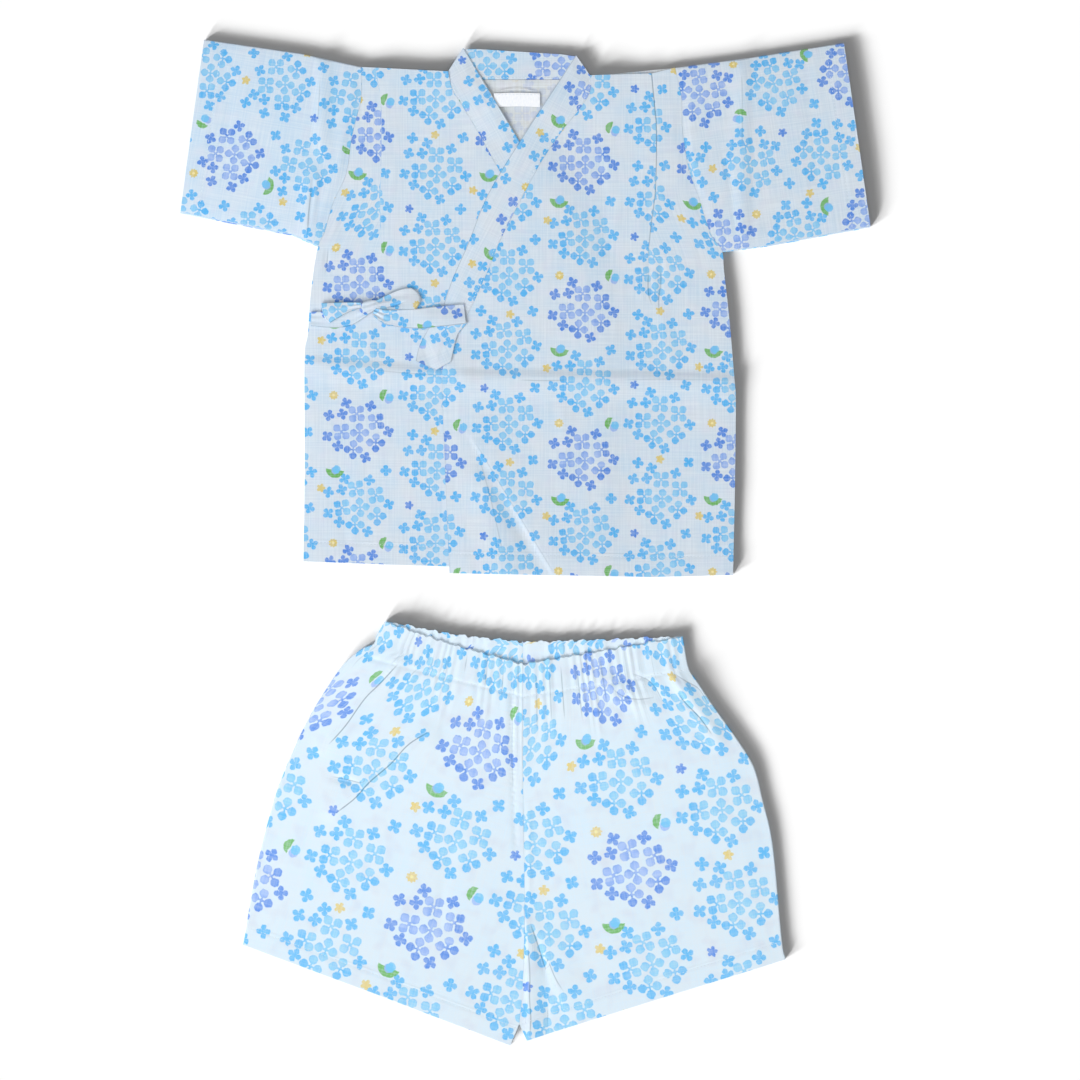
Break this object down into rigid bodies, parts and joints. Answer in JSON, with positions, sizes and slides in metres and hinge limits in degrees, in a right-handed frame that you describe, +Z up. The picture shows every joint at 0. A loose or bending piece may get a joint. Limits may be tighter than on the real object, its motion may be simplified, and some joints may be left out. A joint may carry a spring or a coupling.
{
  "type": "jinbei set laid flat",
  "caption": "Child's jinbei set laid flat: short-sleeved wrap jacket tied with a bow at the side, above shorts with a gathered elastic waist, in floral slub cotton",
  "frame": {"origin": "middle of the set's outline, on the surface that it lies on", "axes": "+X towards the wearer's left side (the viewer's right), +Y from the shorts' hems to the jacket's neck, +Z up from the surface"},
  "size_m": [0.5794, 0.8442, 0.0102],
  "materials": {
    "jacket_print": "matt slub cotton, icy white printed with blue flower clusters",
    "shorts_print": "matt slub cotton, icy white printed with larger blue flower clusters",
    "label_tape": "plain white woven tape, blank"
  },
  "bodies": {
    "root": {"back": "jacket_print", "front_right": "jacket_print", "front_left": "jacket_print", "sleeve_right": "jacket_print", "sleeve_left": "jacket_print", "band_back": "jacket_print", "band_right": "jacket_print", "band_left": "jacket_print", "tie_side": "jacket_print", "tie_front": "jacket_print", "tie_end": "jacket_print", "bow_loop_right": "jacket_print", "bow_loop_left": "jacket_print", "bow_knot": "jacket_print", "label": "label_tape", "leg_right": "shorts_print", "leg_left": "shorts_print"}
  },
  "joints": []
}
